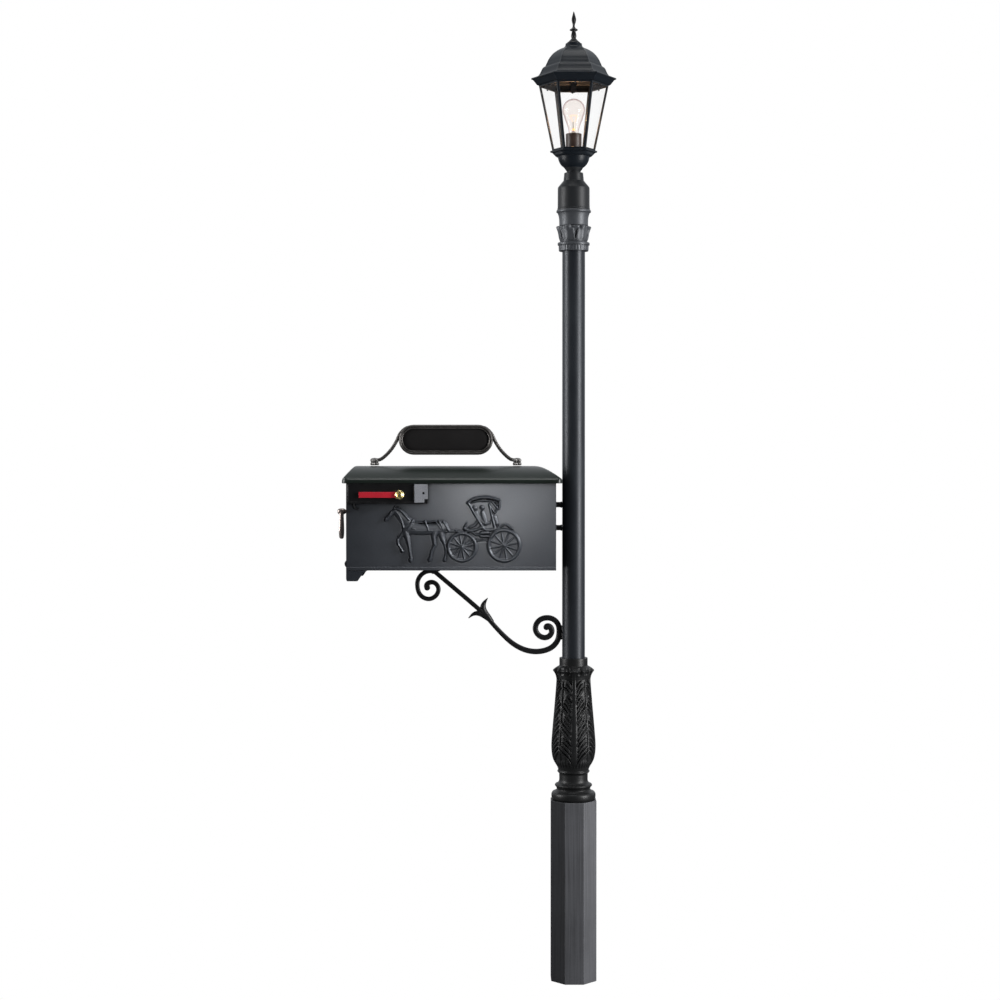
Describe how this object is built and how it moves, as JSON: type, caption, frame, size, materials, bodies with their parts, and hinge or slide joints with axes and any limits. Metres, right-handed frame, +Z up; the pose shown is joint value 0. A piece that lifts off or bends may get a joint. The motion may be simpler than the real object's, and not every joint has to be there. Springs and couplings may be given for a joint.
{
  "type": "post box",
  "caption": "Cast mailbox with a drop-down front door, a swing-up flag and a name plaque, hung on the side of a tall post that carries a hexagonal glazed lamp.",
  "frame": {"origin": "on the post's axis at the ground, in the plane of the foot plate's underside", "axes": "+Z up along the post; -X towards the mailbox and its door; -Y towards the side with the flag"},
  "size_m": [0.7392, 0.2655, 2.564],
  "materials": {
    "charcoal_coat": "satin powder coat",
    "gloss_black": "gloss paint",
    "green_black_hood": "semi-gloss paint",
    "gunmetal_topper": "satin",
    "red_flag": "gloss paint",
    "brass_bright": "polished",
    "rough_zinc": "rough cast",
    "plated_steel": "plated",
    "aged_bronze": "aged",
    "brown_sleeve": "matte",
    "porcelain": "glazed",
    "cable_jacket": "matte",
    "clear_glass": "clear",
    "filament": "clear"
  },
  "bodies": {
    "post_and_box": {"base_sleeve": "charcoal_coat", "bracket_box_screw": "plated_steel", "bracket_post_screw": "plated_steel", "bulb_cap": "brass_bright", "bulb_filament_stem": "filament", "bulb_glass": "clear_glass", "capital": "charcoal_coat", "door_hinge_pin": "plated_steel", "door_magnet": "rough_zinc", "fitter_cap": "gloss_black", "fitter_set_screw_1": "plated_steel", "fitter_set_screw_2": "plated_steel", "fitter_set_screw_3": "plated_steel", "flag_pivot_pin": "brass_bright", "flag_plate": "gloss_black", "flag_rest_hook": "gloss_black", "flag_stop_block": "rough_zinc", "flag_stop_screw": "plated_steel", "floor_panel": "charcoal_coat", "foot_plate": "plated_steel", "front_frame": "charcoal_coat", "glass_pane_1": "clear_glass", "glass_pane_2": "clear_glass", "glass_pane_3": "clear_glass", "glass_pane_4": "clear_glass", "glass_pane_5": "clear_glass", "glass_pane_6": "clear_glass", "hood": "green_black_hood", "lampholder": "porcelain", "lantern_bowl": "charcoal_coat", "lantern_cage": "charcoal_coat", "lantern_stem": "gloss_black", "leaf_base_casting": "gloss_black", "lower_bolt": "plated_steel", "lower_spacer": "gloss_black", "plaque_panel": "gloss_black", "post_tube": "charcoal_coat", "rear_panel": "charcoal_coat", "roof_bridge": "plated_steel", "scroll_bracket": "gloss_black", "side_panel_far": "charcoal_coat", "side_panel_near": "charcoal_coat", "socket_sleeve": "brown_sleeve", "supply_cable": "cable_jacket", "threaded_nipple": "plated_steel", "topper_foot_front": "gunmetal_topper", "topper_foot_rear": "gunmetal_topper", "topper_frame": "gunmetal_topper", "upper_bolt": "plated_steel", "upper_spacer": "gloss_black"},
    "front_door": {"door": "charcoal_coat", "magnet_strike_plate": "plated_steel", "door_pull_boss": "aged_bronze", "door_pull_pin": "aged_bronze"},
    "door_pull": {"door_pull_drop": "aged_bronze"},
    "flag": {"flag_arm": "red_flag", "flag_knob": "brass_bright"},
    "lantern_top": {"lantern_roof": "charcoal_coat", "finial": "gloss_black"}
  },
  "joints": [
    {"name": "door_hinge", "type": "hinge", "parent": "post_and_box", "child": "front_door", "pos_m": [-0.5875, 0, 1.11], "axis": [0, -1, 0], "range_deg": [0, 95]},
    {"name": "pull_swing", "type": "hinge", "parent": "front_door", "child": "door_pull", "pos_m": [-0.615, 0, 1.242], "axis": [0, 1, 0], "range_deg": [0, 100]},
    {"name": "flag_swing", "type": "hinge", "parent": "post_and_box", "child": "flag", "pos_m": [-0.454, -0.1285, 1.2895], "axis": [0, 1, 0], "range_deg": [0, 90]},
    {"name": "lantern_roof_lift", "type": "slide", "parent": "post_and_box", "child": "lantern_top", "axis": [0, 0, 1], "range_m": [0, 0.12]}
  ]
}
